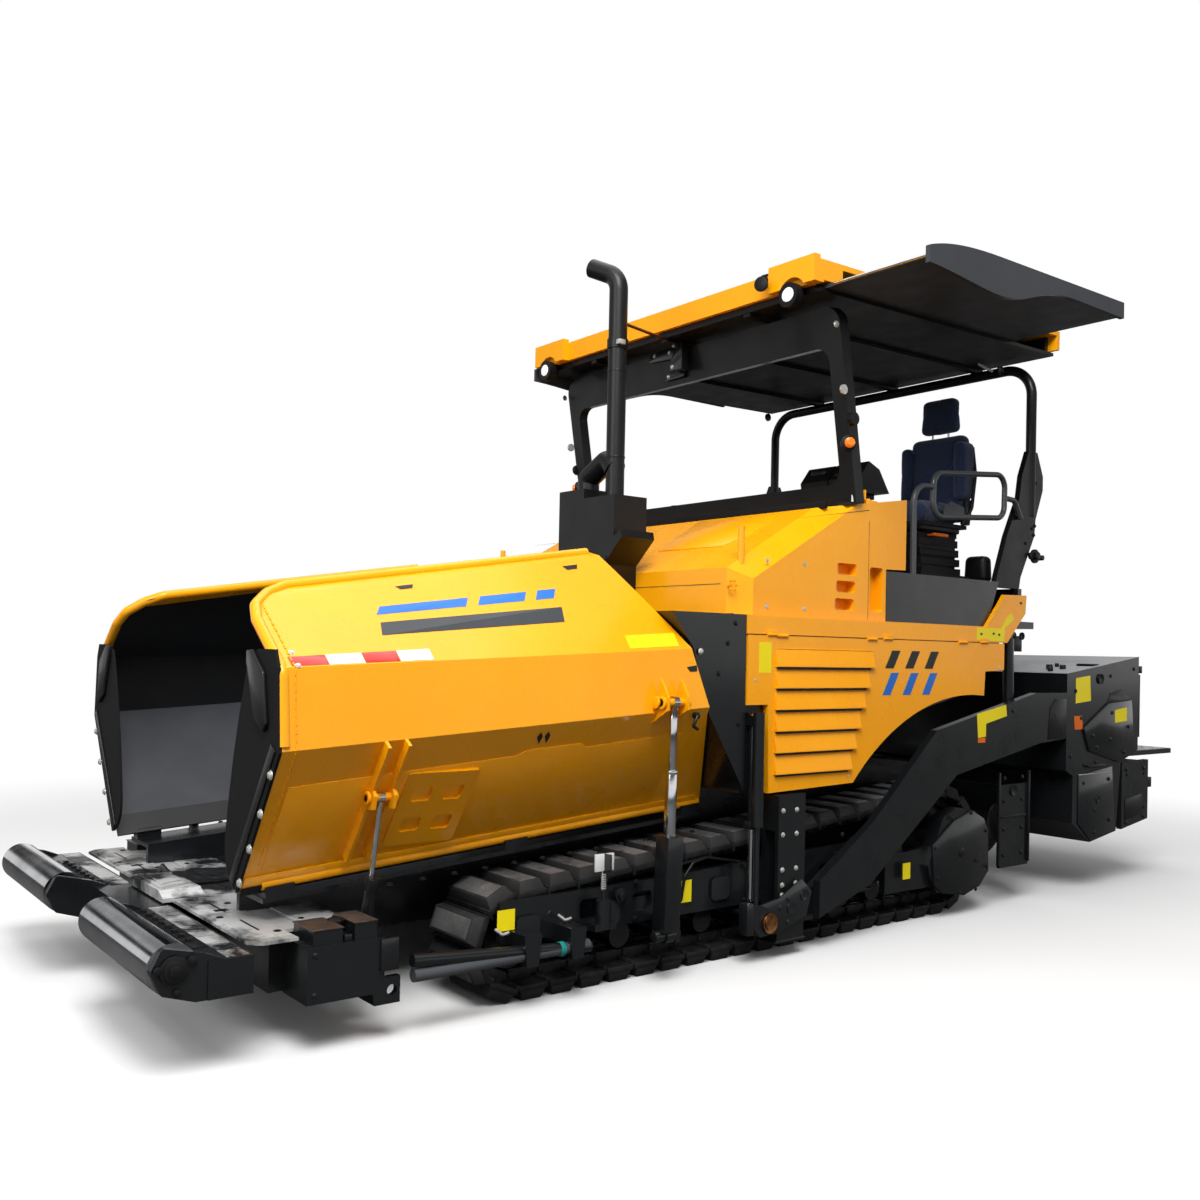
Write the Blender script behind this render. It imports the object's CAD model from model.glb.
"""Tracked asphalt paver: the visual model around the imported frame.

Metres, one frame with the CAD: -Y is the direction of travel, +X the left side, +Z up.
"""
import math

import bmesh
import bpy
from mathutils import Matrix, Vector


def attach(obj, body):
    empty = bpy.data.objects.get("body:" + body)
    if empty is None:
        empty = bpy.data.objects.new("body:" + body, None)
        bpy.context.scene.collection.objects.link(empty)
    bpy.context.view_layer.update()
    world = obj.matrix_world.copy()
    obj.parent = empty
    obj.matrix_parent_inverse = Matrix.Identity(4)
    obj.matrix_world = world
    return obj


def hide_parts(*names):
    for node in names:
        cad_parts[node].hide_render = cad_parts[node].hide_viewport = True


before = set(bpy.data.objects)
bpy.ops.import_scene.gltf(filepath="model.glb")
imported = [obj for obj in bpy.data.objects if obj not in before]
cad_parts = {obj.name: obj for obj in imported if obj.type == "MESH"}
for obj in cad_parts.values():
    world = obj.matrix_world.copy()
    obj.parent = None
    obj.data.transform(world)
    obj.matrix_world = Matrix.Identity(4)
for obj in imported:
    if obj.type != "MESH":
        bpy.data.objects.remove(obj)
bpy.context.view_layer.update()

bl_info = {
    "name": "Asphalt paver",
    "version": (1, 0, 0),
    "blender": (4, 5, 0),
    "location": "View3D > Sidebar > Paver",
    "description": "Builds a tracked asphalt paver around its packed frame",
    "category": "Object",
}

SIDES = (("left", 1), ("right", -1))
OUT, BACK, FORWARD, UP = (1, 0, 0), (0, 1, 0), (0, -1, 0), (0, 0, 1)
# Thickness of a film or label
FILM = 0.0008


# Meshes

def cuboid(bm, low, high, turn=None):
    """Box between two corners, turned about its middle by a matrix where one is given."""
    low, high = Vector(low), Vector(high)
    size = high - low
    place = Matrix.Translation((low + high) / 2)
    if turn is not None:
        place = place @ turn
    return bmesh.ops.create_cube(bm, size=1.0, matrix=place @ Matrix.Diagonal((*size, 1.0)))["verts"]


def rod(bm, start, end, radius, sides):
    """Round bar between two points."""
    start, end = Vector(start), Vector(end)
    line = end - start
    place = Matrix.Translation((start + end) / 2) @ line.to_track_quat("Z", "Y").to_matrix().to_4x4()
    bmesh.ops.create_cone(bm, cap_ends=True, segments=sides, radius1=radius, radius2=radius,
                          depth=line.length, matrix=place)


def thicken(bm, faces, push):
    """Give faces a thickness: extruded by a vector."""
    made = bmesh.ops.extrude_face_region(bm, geom=faces)
    verts = [g for g in made["geom"] if isinstance(g, bmesh.types.BMVert)]
    bmesh.ops.translate(bm, vec=push, verts=verts)


def plate(bm, points, push):
    """Flat plate: a face through the points, pushed out by a vector."""
    thicken(bm, [bm.faces.new([bm.verts.new(p) for p in points])], push)


def rounded(bm, edges, width, segments):
    """Round edges by a width."""
    bmesh.ops.bevel(bm, geom=edges, offset=width, offset_type="OFFSET", affect="EDGES", segments=segments,
                    profile=0.5, material=-1, clamp_overlap=True)


def bolts(bm, places, way, radius, height):
    """Hexagon bolt heads on washers at the places, pointing along way."""
    way = Vector(way).normalized()
    share = bpy.context.scene.paver_sizes.bolts
    radius, height = radius * share, height * share
    for at in places:
        at = Vector(at)
        rod(bm, at, at + way * height * 0.25, radius * 1.35, 12)
        rod(bm, at, at + way * height, radius, 6)


def span(first, last, count):
    """Evenly spaced points from first to last."""
    first, last = Vector(first), Vector(last)
    return [first.lerp(last, i / (count - 1)) for i in range(count)]


def finish(bm, name, finish_name, body="chassis", bevel=0.0, standing_for=()):
    """Turn a bmesh into a piece that rides on a body, with rounded edges and its finish."""
    bmesh.ops.recalc_face_normals(bm, faces=bm.faces)
    limit = math.radians(35)
    sharp = [e for e in bm.edges if len(e.link_faces) == 2 and e.calc_face_angle() > limit]
    if bevel:
        rounded(bm, sharp, bevel * bpy.context.scene.paver_sizes.edges, 2)
    for edge in bm.edges:
        edge.smooth = len(edge.link_faces) == 2 and edge.calc_face_angle() < limit
    for face in bm.faces:
        face.smooth = True
    mesh = bpy.data.meshes.new(name)
    bm.to_mesh(mesh)
    bm.free()
    settle(bpy.data.objects.new(name, mesh), finish_name, body, standing_for)


def settle(piece, finish_name, body, standing_for=()):
    """Link a piece and give it its finish, its body and the nodes that it stands for."""
    bpy.context.scene.collection.objects.link(piece)
    piece.data.materials.append(bpy.data.materials[FINISHES[finish_name][0]])
    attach(piece, body)
    if standing_for:
        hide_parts(*standing_for)


def tube(name, finish_name, points, radius, bend=0.05, body="chassis"):
    """Bent tube through the points, its corners rounded, as a mesh."""
    curve = bpy.data.curves.new(name, "CURVE")
    curve.dimensions = "3D"
    curve.bevel_depth = radius
    curve.bevel_resolution = 5
    curve.resolution_u = 10
    curve.use_fill_caps = True
    points = [Vector(p) for p in points]
    spots = [(points[0], points[0], points[0])]
    for before, here, after in zip(points, points[1:], points[2:]):
        back, on = (before - here).normalized(), (after - here).normalized()
        turn = math.pi - back.angle(on)
        room = 0.45 * min((before - here).length, (after - here).length)
        reach = min(bend * math.tan(turn / 2), room)
        hold = reach * 0.552 if turn < 1.8 else reach * 0.7
        start, stop = here + back * reach, here + on * reach
        spots.append((start + back * hold * 0.2, start, start - back * hold))
        spots.append((stop - on * hold, stop, stop + on * hold * 0.2))
    spots.append((points[-1], points[-1], points[-1]))
    spline = curve.splines.new("BEZIER")
    spline.bezier_points.add(len(spots) - 1)
    for knot, (left, middle, right) in zip(spline.bezier_points, spots):
        knot.co = middle
        knot.handle_left_type = knot.handle_right_type = "FREE"
        knot.handle_left = left
        knot.handle_right = right
    spline.bezier_points[0].handle_right = points[0].lerp(spots[1][1], 0.3)
    spline.bezier_points[-1].handle_left = points[-1].lerp(spots[-2][1], 0.3)
    holder = bpy.data.objects.new(name + "_line", curve)
    bpy.context.scene.collection.objects.link(holder)
    bpy.context.view_layer.update()
    mesh = bpy.data.meshes.new_from_object(holder)
    bpy.data.objects.remove(holder)
    bpy.data.curves.remove(curve)
    mesh.materials.clear()
    mesh.name = name
    settle(bpy.data.objects.new(name, mesh), finish_name, body)


# Materials

def linear(code):
    """Linear colour from an sRGB hex value."""
    parts = [int(code[i:i + 2], 16) / 255 for i in (0, 2, 4)]
    return tuple(p / 12.92 if p <= 0.04045 else ((p + 0.055) / 1.055) ** 2.4 for p in parts) + (1.0,)


def grain(millimetres):
    """Noise scale for a pattern whose features are this many millimetres across."""
    return 1000.0 / millimetres


def add(tree, kind, inputs=None, **settings):
    """One node with its settings; an input is a value or a socket to link."""
    made = tree.nodes.new(kind)
    for key, value in settings.items():
        setattr(made, key, value)
    for key, value in (inputs or {}).items():
        if isinstance(value, bpy.types.NodeSocket):
            tree.links.new(value, made.inputs[key])
        else:
            made.inputs[key].default_value = value
    return made


def blank(name):
    """A new material: its empty node tree and its Object coordinates."""
    material = bpy.data.materials.new(name)
    material.use_nodes = True
    tree = material.node_tree
    tree.nodes.clear()
    return tree, add(tree, "ShaderNodeTexCoord").outputs["Object"]


def shade(tree, **inputs):
    """The shader on the output: an input's name has _ where the socket's has a space."""
    named = {key.replace("_", " "): value for key, value in inputs.items()}
    shader = add(tree, "ShaderNodeBsdfPrincipled", named)
    add(tree, "ShaderNodeOutputMaterial", {0: shader.outputs[0]})


def noise(tree, place, size, detail, rough=0.5):
    """Noise whose features are a size in millimetres across."""
    return add(tree, "ShaderNodeTexNoise",
               {"Vector": place, "Scale": grain(size), "Detail": detail, "Roughness": rough}).outputs["Fac"]


def mottle(tree, place, size, low, high, first, second, detail=4.0):
    """Colour that drifts between two hex values over patches of a size in millimetres."""
    ramp = add(tree, "ShaderNodeValToRGB", {"Fac": noise(tree, place, size, detail, 0.6)})
    for element, position, code in zip(ramp.color_ramp.elements, (low, high), (first, second)):
        element.position = position
        element.color = linear(code)
    return ramp.outputs["Color"]


def raised(tree, height, strength, depth):
    """Normal from a height."""
    return add(tree, "ShaderNodeBump",
               {"Height": height, "Strength": strength, "Distance": depth}).outputs["Normal"]


def bumped(tree, place, size, strength, depth, detail=2.0):
    """Normal from a noise of a size in millimetres."""
    return raised(tree, noise(tree, place, size, detail), strength, depth)


def between(tree, value, least, most, low=0.0, high=1.0, **settings):
    """Value mapped from least..most to low..high."""
    return add(tree, "ShaderNodeMapRange",
               {"Value": value, "From Min": least, "From Max": most, "To Min": low, "To Max": high},
               **settings).outputs["Result"]


def ranged(tree, place, size, low, high):
    """Value that drifts between two numbers over patches of a size in millimetres."""
    return between(tree, noise(tree, place, size, 3.0), 0.3, 0.7, low, high)


def mixed(tree, share, first, second):
    """Colour between two others."""
    return add(tree, "ShaderNodeMix", {"Factor": share, 6: first, 7: second}, data_type="RGBA").outputs[2]


def wave(tree, place, size, way, **inputs):
    """Threads or flutes of a size in millimetres, one after the other along an axis."""
    named = {key.replace("_", " "): value for key, value in inputs.items()}
    named.update({"Vector": place, "Scale": grain(size) / 6.28})
    return add(tree, "ShaderNodeTexWave", named, bands_direction=way).outputs["Fac"]


def paint(name, base, dark, rough, coat, peel):
    """Sprayed enamel on steel: even colour, faint orange peel, slightly duller patches."""
    tree, place = blank(name)
    shade(tree, Base_Color=mottle(tree, place, 900, 0.35, 0.7, dark, base, 5.0),
          Roughness=ranged(tree, place, 160, rough - 0.05, rough + 0.06),
          Normal=bumped(tree, place, 5, peel, 0.0006), IOR=1.5, Specular_IOR_Level=0.3, Coat_Weight=coat,
          Coat_Roughness=0.12)


def metal(name, base, dark, low, high, size, grit, depth, metallic=1.0):
    """Bare metal: two tones in patches and a fine grain."""
    tree, place = blank(name)
    shade(tree, Base_Color=mottle(tree, place, size, 0.3, 0.72, dark, base), Metallic=metallic,
          Roughness=ranged(tree, place, size * 0.7, low, high),
          Normal=bumped(tree, place, grit, 0.5, depth, 4.0))


def scratched(name, base, dark, scratch, metallic=0.85, size=220, edge=(0.32, 0.68)):
    """Steel plate polished by traffic: long fine scratches across a mottled grey."""
    tree, place = blank(name)
    along = add(tree, "ShaderNodeMapping", {"Vector": place, "Scale": (1.0, 0.06, 1.0)}).outputs["Vector"]
    lines = noise(tree, along, 4, 6.0, 0.7)
    patches = mottle(tree, place, size, *edge, dark, base, 6.0)
    colour = mixed(tree, between(tree, lines, 0.56, 0.7), patches, linear(scratch))
    shade(tree, Base_Color=colour, Metallic=metallic, Roughness=ranged(tree, place, 120, 0.28, 0.5),
          Normal=raised(tree, lines, 0.25, 0.0005))


def plastic(name, base, dark, rough, texture, depth):
    """Moulded plastic or rubber: even colour and a spark-eroded grain."""
    tree, place = blank(name)
    shade(tree, Base_Color=mottle(tree, place, 300, 0.35, 0.7, dark, base), Roughness=rough,
          Normal=bumped(tree, place, texture, 0.4, depth), IOR=1.49, Specular_IOR_Level=0.25)


def woven(name, warp, weft, thread):
    """Polyester upholstery: plain weave of warp and weft threads with a soft sheen."""
    tree, place = blank(name)
    across, up = (wave(tree, place, thread, way, Distortion=0.4, Detail=1.0, Detail_Scale=3.0)
                  for way in "XZ")
    weave = add(tree, "ShaderNodeMath", {0: across, 1: up}, operation="MULTIPLY").outputs[0]
    shade(tree, Base_Color=mixed(tree, weave, linear(weft), linear(warp)), Roughness=0.9, Sheen_Weight=0.35,
          Normal=raised(tree, weave, 0.5, 0.0008))


def clear(name, tint, glow):
    """Moulded polycarbonate lens: tinted, smooth, with vertical flutes."""
    tree, place = blank(name)
    flutes = wave(tree, place, 8, "X")
    shade(tree, Base_Color=linear(tint), Roughness=0.12, IOR=1.58, Coat_Weight=0.6,
          Emission_Color=linear(tint), Emission_Strength=glow, Normal=raised(tree, flutes, 0.3, 0.001))


# Finish name: material, the record's slot, and its recipe unless another finish has made it
FINISHES = {
    "yellow": ("Yellow enamel", "yellow_paint", paint, "FBA908", "F5A004", 0.28, 0.25, 0.05),
    "charcoal": ("Charcoal enamel", "charcoal_paint", paint, "151719", "0F1113", 0.3, 0.5, 0.06),
    "black": ("Black powder coat", "charcoal_paint", paint, "0F1012", "0A0B0C", 0.42, 0.1, 0.15),
    "liner": ("Black hopper liner steel", "charcoal_paint", paint, "3A3D43", "26282C", 0.42, 0.1, 0.1),
    "soot": ("Sooty hopper steel", "charcoal_paint", paint, "17181A", "101113", 0.45, 0.1, 0.1),
    "slate": ("Slate enamel", "charcoal_paint", paint, "3C3F44", "34373B", 0.4, 0.1, 0.1),
    "grey": ("Grey screed enamel", "charcoal_paint", paint, "9C9D9F", "87888A", 0.5, 0.05, 0.12),
    "engine": ("Grey engine enamel", "engine_paint", paint, "5C6064", "4A4E52", 0.4, 0.2, 0.1),
    "tube": ("Grey tube enamel", "rail_tube", paint, "4A4D50", "3C3F42", 0.35, 0.3, 0.06),
    "track": ("Manganese steel shoes", "track_steel", metal, "2A2A2B", "171718", 0.45, 0.7, 60, 3, 0.0012,
              0.5),
    "roller": ("Polished roller steel", "worn_steel", metal, "B9BABD", "8E8F93", 0.08, 0.16, 300, 3,
               0.0001),
    "chrome": ("Chromed rod", "chrome_rod", metal, "D9DBDE", "C6C9CE", 0.06, 0.14, 90, 1.5, 0.00005),
    "zinc": ("Zinc-plated bolts", "chrome_rod", metal, "E4E4E0", "C2C1BA", 0.3, 0.45, 20, 2, 0.0002, 0.7),
    "bronze": ("Bronze bush", "chrome_rod", metal, "B07A4A", "7C5230", 0.3, 0.5, 30, 2, 0.0003),
    "bronze_rod": ("Bronze bush", "rail_tube"),
    "worn": ("Worn deck plate", "worn_steel", scratched, "C9C9C8", "17181A", "8F9091", 0.45, 520,
             (0.49, 0.56)),
    "lid": ("Worn lid plate", "charcoal_paint", scratched, "54483F", "2A2421", "7C6F64", 0.2),
    "worn_rubber": ("Worn pad face", "track_steel", scratched, "6E6E6E", "3C3C3C", "A4A4A4", 0.1),
    "rubber": ("Track pad rubber", "track_steel", plastic, "333333", "242424", 0.7, 6, 0.001),
    "flap": ("Rubber sheet", "charcoal_paint", plastic, "0B0B0C", "070708", 0.8, 5, 0.0006),
    "plastic": ("Black ABS", "black_plastic", plastic, "121315", "0C0D0E", 0.4, 2, 0.0003),
    "bellows": ("Bellows rubber", "black_plastic", plastic, "161617", "101011", 0.6, 3, 0.0004),
    "orange": ("Orange plastic", "black_plastic", plastic, "E8711A", "D8630F", 0.4, 2, 0.0002),
    "pale": ("White plastic", "black_plastic", plastic, "D8DAD8", "C6C8C6", 0.4, 3, 0.0003),
    "pale_rod": ("White plastic", "rail_tube"),
    "teal": ("Teal plastic", "black_plastic", plastic, "1F8F88", "1A7A74", 0.4, 3, 0.0003),
    "lens": ("Clear polycarbonate lens", "lamp_lens", clear, "F2F4F5", 0.25),
    "amber": ("Amber polycarbonate lens", "lamp_lens", clear, "F5780A", 0.15),
    "fabric": ("Navy polyester weave", "seat_fabric", woven, "2A3E66", "182744", 5.0),
    "grey_fabric": ("Grey polyester weave", "seat_fabric", woven, "565A5E", "3E4246", 5.0),
    "blue": ("Blue vinyl film", "yellow_paint", paint, "2B73C9", "1B62B8", 0.35, 0.1, 0.02),
    "ink": ("Black vinyl film", "yellow_paint", paint, "1E2023", "17191B", 0.4, 0.1, 0.02),
    "bar": ("Charcoal vinyl film", "yellow_paint", paint, "3A3D40", "303336", 0.4, 0.1, 0.02),
    "red": ("Red reflective film", "yellow_paint", paint, "C92A22", "B4231C", 0.3, 0.3, 0.05),
    "white": ("White reflective film", "yellow_paint", paint, "F2F2EE", "E2E2DD", 0.3, 0.3, 0.05),
    "label": ("Yellow label film", "charcoal_paint", paint, "F5E010", "EBD40C", 0.4, 0.1, 0.02),
}


def make_materials():
    """All the finishes, each from its real material, with the colours that the panel sets."""
    tone = bpy.context.scene.paver_paint
    chosen = {"yellow": tone.yellow, "charcoal": tone.charcoal, "blue": tone.stripe}
    for key, (material, _, *recipe) in FINISHES.items():
        if recipe:
            make, base, *values = recipe
            make(material, chosen.get(key, base), *values)


# The other nodes are charcoal
NODE_FINISH = {
    "yellow": ["hopper_wing_left", "hopper_wing_right", "side_door_left", "side_door_right", "waist_band",
               "hood", "roof"],
    "track": ["track_left", "track_right", "conveyors", "auger_left", "auger_right"],
    "worn": ["deck_plates"],
    "roller": ["push_roller_left", "push_roller_right"],
    "chrome": ["strut_rod_left", "strut_rod_right", "ram_rod_left", "ram_rod_right", "lift_rods"],
    "engine": ["engine"],
    "plastic": ["console", "lamps"],
    "bellows": ["seat_bases"],
    "tube": ["handrails"],
    "fabric": ["seats"],
    "slate": ["awning_left", "awning_right"],
    "black": ["roof_panel", "front_portal", "rear_portal", "exhaust"],
    "flap": ["wing_flap_left", "wing_flap_right"],
}


# Settings that a user would change

class PaverPaint(bpy.types.PropertyGroup):
    """Colours of the paver, as sRGB hex values."""
    yellow: bpy.props.StringProperty(name="Body yellow", description="Enamel of the hopper, doors and hood",
                                     default="FBA908")
    charcoal: bpy.props.StringProperty(
        name="Frame charcoal", description="Enamel of the frame and screed", default="151719")
    stripe: bpy.props.StringProperty(name="Stripe blue", description="Film of the slanted stripes",
                                     default="2B73C9")


class PaverSizes(bpy.types.PropertyGroup):
    """Sizes of repeated details."""
    bolts: bpy.props.FloatProperty(name="Bolt size", description="Share of each bolt head's real size",
                                   default=1.0, min=0.5, max=2.0, subtype="FACTOR")
    edges: bpy.props.FloatProperty(name="Edge rounding", description="Share of each edge's real rounding",
                                   default=1.0, min=0.1, max=2.0, subtype="FACTOR")


# Stage

class PAVER_OT_stage(bpy.types.Operator):
    """Pale floor, soft studio lamps and the camera"""
    bl_idname = "paver.stage"
    bl_label = "Stage"

    def execute(self, context):
        make_stage()
        return {"FINISHED"}


def fade_to_white(tree, shader):
    """Floor that turns plain white away from the machine, so that no horizon shows."""
    place = add(tree, "ShaderNodeTexCoord").outputs["Object"]
    seen = add(tree, "ShaderNodeLightPath").outputs["Is Camera Ray"]
    tree.links.new(mixed(tree, seen, linear("5A5A5A"), linear("E6E6E6")), shader.inputs["Base Color"])
    far = add(tree, "ShaderNodeVectorMath", {0: place}, operation="LENGTH").outputs["Value"]
    reach = between(tree, far, 4.5, 9.0, interpolation_type="SMOOTHSTEP")
    share = add(tree, "ShaderNodeMath", {0: reach, 1: seen}, operation="MULTIPLY").outputs[0]
    glow = add(tree, "ShaderNodeEmission", {"Color": linear("FFFFFF"), "Strength": 1.0})
    mix = add(tree, "ShaderNodeMixShader", {0: share, 1: shader.outputs[0], 2: glow.outputs[0]})
    tree.links.new(mix.outputs[0], tree.nodes["Material Output"].inputs["Surface"])


def reflected_bands(tree):
    """World colour: even for soft light, and bright and dark bands by height for reflections."""
    height = add(tree, "ShaderNodeSeparateXYZ",
                 {0: add(tree, "ShaderNodeTexCoord").outputs["Generated"]}).outputs["Z"]
    bands = add(tree, "ShaderNodeValToRGB", {"Fac": height}).color_ramp
    for place, tone in ((0.17, "FFFFFF"), (0.21, "303030"), (0.27, "303030"), (0.31, "E0E0E0"),
                        (0.38, "909090"), (0.6, "505050"), (0.8, "FFFFFF")):
        element = bands.elements.new(place)
        element.color = linear(tone)
    bands.elements[0].color = linear("FFFFFF")
    bands.elements[-1].color = linear("8A8A8A")
    ramp = tree.nodes[-1]
    glossy = add(tree, "ShaderNodeLightPath").outputs["Is Glossy Ray"]
    return mixed(tree, glossy, linear("B4B4B4"), ramp.outputs["Color"])


def make_stage():
    """Floor, world, lamps and camera."""
    scene = bpy.context.scene
    scene.view_settings.view_transform = "Standard"
    bm = bmesh.new()
    bmesh.ops.create_grid(bm, x_segments=1, y_segments=1, size=60.0)
    mesh = bpy.data.meshes.new("floor")
    bm.to_mesh(mesh)
    bm.free()
    floor = bpy.data.objects.new("floor", mesh)
    scene.collection.objects.link(floor)
    material = bpy.data.materials.new("White studio floor")
    material.use_nodes = True
    shader = material.node_tree.nodes["Principled BSDF"]
    shader.inputs["Roughness"].default_value = 0.9
    shader.inputs["Specular IOR Level"].default_value = 0.1
    fade_to_white(material.node_tree, shader)
    mesh.materials.append(material)

    world = bpy.data.worlds.new("Studio")
    scene.world = world
    world.use_nodes = True
    tree = world.node_tree
    tree.nodes.clear()
    path = add(tree, "ShaderNodeLightPath")
    seen = add(tree, "ShaderNodeMath",
               {0: path.outputs["Is Camera Ray"], 1: path.outputs["Is Transmission Ray"]},
               operation="MAXIMUM")
    soft = add(tree, "ShaderNodeBackground", {"Color": reflected_bands(tree), "Strength": 1.0})
    white = add(tree, "ShaderNodeBackground", {"Color": linear("FFFFFF"), "Strength": 1.0})
    mix = add(tree, "ShaderNodeMixShader", {0: seen.outputs[0], 1: soft.outputs[0], 2: white.outputs[0]})
    add(tree, "ShaderNodeOutputWorld", {"Surface": mix.outputs[0]})

    for name, spot, aim, size, power in (
            ("key", (6.0, -5.0, 9.0), (0.4, -0.6, 1.2), 5.0, 1280.0),
            ("front", (1.5, -10.5, 5.5), (0.0, -1.5, 1.0), 5.0, 300.0),
            ("top", (-1.0, 0.5, 10.0), (0.0, 0.5, 1.5), 7.0, 280.0)):
        lamp = bpy.data.lights.new(name, "AREA")
        lamp.shape = "SQUARE"
        lamp.size = size
        lamp.energy = power
        holder = bpy.data.objects.new(name, lamp)
        holder.location = spot
        holder.rotation_euler = (Vector(aim) - Vector(spot)).to_track_quat("-Z", "Y").to_euler()
        scene.collection.objects.link(holder)

    azimuth, pitch, roll = math.radians(51.79), math.radians(0.626), math.radians(1.189)
    ahead = Vector((-math.sin(azimuth) * math.cos(pitch), math.cos(azimuth) * math.cos(pitch),
                    math.sin(pitch)))
    right = Vector((math.cos(azimuth), math.sin(azimuth), 0.0))
    up = right.cross(ahead)
    side = right * math.cos(roll) + up * math.sin(roll)
    over = -right * math.sin(roll) + up * math.cos(roll)
    camera_data = bpy.data.cameras.new("camera")
    camera_data.sensor_width = 36.0
    camera_data.lens = 34.143
    camera_data.shift_x = -0.001
    camera_data.shift_y = 0.0322
    camera_data.clip_end = 200.0
    camera = bpy.data.objects.new("camera", camera_data)
    turn = Matrix((side, over, -ahead)).transposed().to_4x4()
    camera.matrix_world = Matrix.Translation((5.227, -4.752, 1.548)) @ turn
    scene.collection.objects.link(camera)
    scene.camera = camera


class PAVER_OT_finishes(bpy.types.Operator):
    """Materials, and the finish of each carried-over node"""
    bl_idname = "paver.finishes"
    bl_label = "Finishes"

    def execute(self, context):
        make_materials()
        chosen = {node: name for name, nodes in NODE_FINISH.items() for node in nodes}
        for node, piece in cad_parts.items():
            material = bpy.data.materials[FINISHES[chosen.get(node, "charcoal")][0]]
            if not piece.material_slots:
                piece.data.materials.append(material)
            for slot in piece.material_slots:
                slot.material = material
        return {"FINISHED"}


# Pieces from rows of shapes

def single(name, finish_name, *rows, body="chassis", mirrored=False, **options):
    """One piece from rows of a maker and its values, mirrored to the right side where asked."""
    bm = bmesh.new()
    for make, *values in rows:
        make(bm, *values)
    if mirrored:
        bmesh.ops.transform(bm, matrix=Matrix.Diagonal((-1.0, 1.0, 1.0, 1.0)), verts=bm.verts)
    finish(bm, name, finish_name, body, **options)


def pair(name, finish_name, *rows, body="chassis", **options):
    """The same piece on both sides: built on the left, mirrored for the right."""
    for side, sign in SIDES:
        single(name + "_" + side, finish_name, *rows, body=body.replace("SIDE", side), mirrored=sign < 0,
               **options)


def side_plate(points, x, thick):
    """Row for a plate across the machine: (y, z) outline, inner face and thickness."""
    return (plate, [(x, y, z) for y, z in points], (thick, 0.0, 0.0))


def level_plate(z, points, thick):
    """Row for a level plate: (x, y) outline at its lower face."""
    return (plate, [(x, y, z) for x, y in points], (0.0, 0.0, thick))


def cross_plate(y, points, push):
    """Row for a plate that faces forward: (x, z) outline, pushed out by a vector."""
    return (plate, [(x, y, z) for x, z in points], push)


def side_bolts(x, places, radius, height):
    """Row for bolts on a side face at (y, z) places."""
    return (bolts, [(x, y, z) for y, z in places], OUT, radius, height)


def patch(y, z, length, height, lean=0.0):
    """Corners (y, z) of an upright four-sided film, its top edge moved back by lean."""
    return [(y, z), (y + length, z), (y + length + lean, z + height), (y + lean, z + height)]


def boss(at, way, *steps):
    """Rows for a stepped round boss: (radius, length) pairs stacked along a direction."""
    rows = []
    at, way = Vector(at), Vector(way).normalized()
    for radius, length in steps:
        rows.append((rod, at, at + way * length, radius, 32))
        at = at + way * length
    return rows


def wire(name, finish_name, points, radius, bend=0.03):
    """The same bent tube on both sides."""
    for side, sign in SIDES:
        mirrored = [(sign * x, y, z) for x, y, z in points]
        tube(name + "_" + side, finish_name, mirrored, radius, bend)


def ring(bm, at, outer, inner, thick):
    """Flat ring across the machine: an outer drum with its face inset and sunk."""
    at = Vector(at)
    rod(bm, at, at + Vector((thick, 0, 0)), outer, 40)
    bm.faces.ensure_lookup_table()
    cap = max(bm.faces[-42:], key=lambda face: face.calc_center_median().x)
    bmesh.ops.inset_region(bm, faces=[cap], thickness=outer - inner)
    bmesh.ops.translate(bm, vec=(-thick * 0.7, 0, 0), verts=cap.verts)


# Hopper wings

WING_ENDS = (-3.09, -0.6)
WING_LINES = (((0.85, 0.585), (1.25, 1.155), (1.22, 1.462), (0.85, 1.72), (0.77, 1.762)),
              ((0.85, 0.778), (1.25, 1.311), (1.222, 1.591), (0.92, 2.141), (0.86, 2.15)))
# Side outline of a wing (y, z) from its rear lower corner round to the front edge
WING_TRIM = ((-0.62, 0.76), (-0.936, 1.251), (-1.048, 1.575), (-1.395, 2.045), (-2.9, 1.8), (-2.99, 1.755),
             (-3.062, 1.705), (-3.09, 1.65))
# Lower, middle and upper panel: the outline's edges that trim each
PANEL_TRIMS = ((0,), (1,), (1, 2, 3, 4, 5, 6))


def wing_at(y, corner):
    """Point (x, z) of a fold line of the left wing."""
    part = (y - WING_ENDS[0]) / (WING_ENDS[1] - WING_ENDS[0])
    return Vector(WING_LINES[0][corner]).lerp(Vector(WING_LINES[1][corner]), part)


def panel_out(y, panel):
    """Outward direction of a panel of the left wing."""
    run = wing_at(y, panel + 1) - wing_at(y, panel)
    return Vector((run.y, 0.0, -run.x)).normalized()


def wing_point(y, panel, share, out=0.0):
    """Point on a panel's outer face, share 0 at its lower fold, moved out."""
    spot = wing_at(y, panel).lerp(wing_at(y, panel + 1), share)
    return Vector((spot.x, y, spot.y)) + panel_out(y, panel) * out


def wing_outline(panel, corners, out=0.0012):
    """Points of a (y, share) outline just proud of a panel's outer face."""
    return [wing_point(y, panel, share, out) for y, share in corners]


def wing_patch(bm, panel, corners, thick, lift=0.0):
    """Plate on a panel's outer face with (y, share) corners."""
    middle = sum(y for y, _ in corners) / len(corners)
    plate(bm, wing_outline(panel, corners, lift), panel_out(middle, panel) * thick)


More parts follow.
